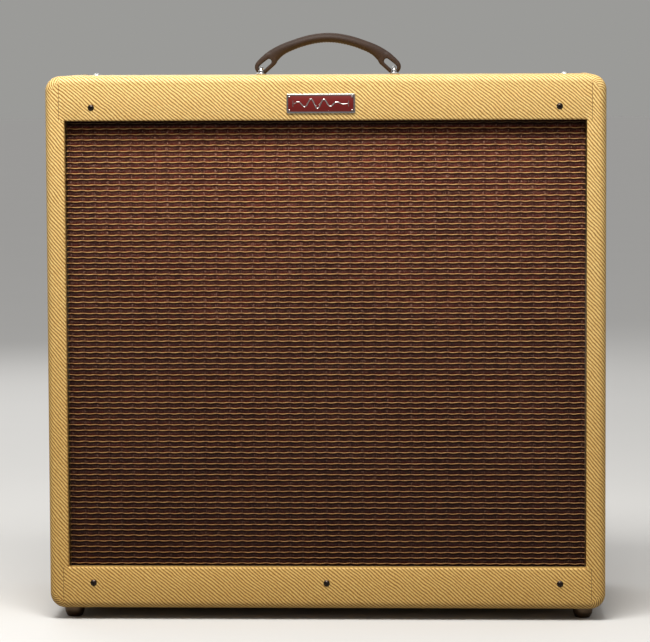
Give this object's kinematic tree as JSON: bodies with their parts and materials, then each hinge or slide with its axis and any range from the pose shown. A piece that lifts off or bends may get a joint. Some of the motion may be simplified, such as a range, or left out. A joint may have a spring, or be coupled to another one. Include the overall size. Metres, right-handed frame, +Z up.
{
  "type": "guitar amplifier",
  "caption": "Open-back tweed combo guitar amplifier with round-shouldered pine cabinet, woven grille, leather strap handle, valve chassis and top-mounted rear controls",
  "frame": {"origin": "on the floor plane under the middle of the cabinet, at the centre of the overall box", "axes": "+X to the right seen from the front, +Y towards the open back, +Z up; the grille faces -Y"},
  "size_m": [0.597, 0.2708, 0.6295],
  "materials": {
    "basket": "grey hammered paint on pressed steel",
    "birch_ply": "plywood, stained dark towards the openings",
    "capacitor": "yellow and blue moulded components",
    "chassis_chrome": "chromed folded steel",
    "cone_paper": "ribbed pressed paper",
    "cord": "brown rubber mains cord",
    "core_black": "black enamelled transformer bells and core",
    "dark_screw": "black oxide screws",
    "electrode": "carbonised valve plates and mica",
    "fibre_board": "black vulcanised fibre",
    "glide": "bronzed steel glides",
    "grille_weave": "open weave grille cloth with gold threads",
    "handle_leather": "dark brown stitched leather",
    "jewel": "faceted red jewel",
    "lead_cloth": "cloth covered leads",
    "magnet_cover": "dull painted steel cover",
    "nickel": "polished nickel and chrome hardware",
    "phenolic": "black moulded phenolic",
    "pine": "bare solid pine",
    "red_enamel": "glossy red enamel",
    "screw_steel": "dulled nickel screws",
    "spider_cloth": "corrugated resin cloth",
    "surround_paper": "doped corrugated paper edge",
    "tweed": "lacquered diagonal tweed",
    "valve_glass": "clear valve glass",
    "zinc": "zinc plated steel"
  },
  "bodies": {
    "cabinet": {"side_panel_left": "pine", "side_panel_right": "pine", "top_panel": "pine", "bottom_panel": "pine", "front_rails": "pine", "baffle_board": "birch_ply", "grille_cloth": "grille_weave", "back_panel_upper": "birch_ply", "back_panel_lower": "birch_ply", "back_cleats": "pine", "tweed_covering": "tweed", "tweed_front_rails": "tweed", "tweed_back_panels": "tweed", "badge_frame": "nickel", "badge_enamel": "red_enamel", "baffle_screws": "dark_screw", "back_panel_screws": "screw_steel", "chassis_screws": "nickel", "handle_bails": "nickel", "glide_feet": "glide", "chassis": "chassis_chrome", "circuit_board": "fibre_board", "board_components": "capacitor", "power_transformer": "core_black", "output_transformer": "core_black", "filter_choke": "core_black", "filter_capacitors": "capacitor", "tube_sockets": "phenolic", "tube_bases": "phenolic", "tube_envelopes": "valve_glass", "tube_electrodes": "electrode", "tube_retainers": "zinc", "potentiometers": "zinc", "input_jacks": "nickel", "toggle_switch_bodies": "zinc", "panel_nuts": "nickel", "pilot_lamp_bezel": "nickel", "pilot_lamp_jewel": "jewel", "fuse_holder": "phenolic", "speaker_frames": "basket", "speaker_magnets": "magnet_cover", "speaker_spiders": "spider_cloth", "speaker_surrounds": "surround_paper", "speaker_fasteners": "zinc", "speaker_wiring": "lead_cloth", "power_cord": "cord"},
    "handle": {"handle_grip": "handle_leather"},
    "fuse_cap": {"fuse_cap": "phenolic"},
    "power_toggle": {"power_toggle": "nickel"},
    "standby_toggle": {"standby_toggle": "nickel"},
    "knob_presence": {"knob_presence": "phenolic"},
    "knob_middle": {"knob_middle": "phenolic"},
    "knob_bass": {"knob_bass": "phenolic"},
    "knob_treble": {"knob_treble": "phenolic"},
    "knob_volume_bright": {"knob_volume_bright": "phenolic"},
    "knob_volume_normal": {"knob_volume_normal": "phenolic"},
    "speaker_cone_upper_left": {"speaker_cone_upper_left": "cone_paper"},
    "speaker_cone_upper_right": {"speaker_cone_upper_right": "cone_paper"},
    "speaker_cone_lower_left": {"speaker_cone_lower_left": "cone_paper"},
    "speaker_cone_lower_right": {"speaker_cone_lower_right": "cone_paper"}
  },
  "joints": [
    {"name": "handle_swing", "type": "hinge", "parent": "cabinet", "child": "handle", "pos_m": [0, -0.05, 0.5918], "axis": [1, 0, 0], "range_deg": [-27, 27]},
    {"name": "presence_turn", "type": "hinge", "parent": "cabinet", "child": "knob_presence", "pos_m": [0.082, 0.06, 0.5639], "axis": [0, 0, 1], "range_deg": [-150, 150]},
    {"name": "middle_turn", "type": "hinge", "parent": "cabinet", "child": "knob_middle", "pos_m": [0.036, 0.06, 0.5639], "axis": [0, 0, 1], "range_deg": [-150, 150]},
    {"name": "bass_turn", "type": "hinge", "parent": "cabinet", "child": "knob_bass", "pos_m": [-0.01, 0.06, 0.5639], "axis": [0, 0, 1], "range_deg": [-150, 150]},
    {"name": "treble_turn", "type": "hinge", "parent": "cabinet", "child": "knob_treble", "pos_m": [-0.056, 0.06, 0.5639], "axis": [0, 0, 1], "range_deg": [-150, 150]},
    {"name": "volume_bright_turn", "type": "hinge", "parent": "cabinet", "child": "knob_volume_bright", "pos_m": [-0.102, 0.06, 0.5639], "axis": [0, 0, 1], "range_deg": [-150, 150]},
    {"name": "volume_normal_turn", "type": "hinge", "parent": "cabinet", "child": "knob_volume_normal", "pos_m": [-0.148, 0.06, 0.5639], "axis": [0, 0, 1], "range_deg": [-150, 150]},
    {"name": "standby_switch", "type": "hinge", "parent": "cabinet", "child": "standby_toggle", "pos_m": [0.125, 0.06, 0.5665], "axis": [1, 0, 0], "range_deg": [0, 26]},
    {"name": "power_switch", "type": "hinge", "parent": "cabinet", "child": "power_toggle", "pos_m": [0.205, 0.06, 0.5665], "axis": [1, 0, 0], "range_deg": [0, 26]},
    {"name": "fuse_draw", "type": "slide", "parent": "cabinet", "child": "fuse_cap", "axis": [0, 0, 1], "range_m": [0, 0.035]},
    {"name": "cone_upper_left_stroke", "type": "slide", "parent": "cabinet", "child": "speaker_cone_upper_left", "axis": [0, 1, 0], "range_m": [-0.002, 0.002], "stiffness_N_per_m": 2500},
    {"name": "cone_upper_right_stroke", "type": "slide", "parent": "cabinet", "child": "speaker_cone_upper_right", "axis": [0, 1, 0], "range_m": [-0.002, 0.002], "stiffness_N_per_m": 2500},
    {"name": "cone_lower_left_stroke", "type": "slide", "parent": "cabinet", "child": "speaker_cone_lower_left", "axis": [0, 1, 0], "range_m": [-0.002, 0.002], "stiffness_N_per_m": 2500},
    {"name": "cone_lower_right_stroke", "type": "slide", "parent": "cabinet", "child": "speaker_cone_lower_right", "axis": [0, 1, 0], "range_m": [-0.002, 0.002], "stiffness_N_per_m": 2500}
  ]
}
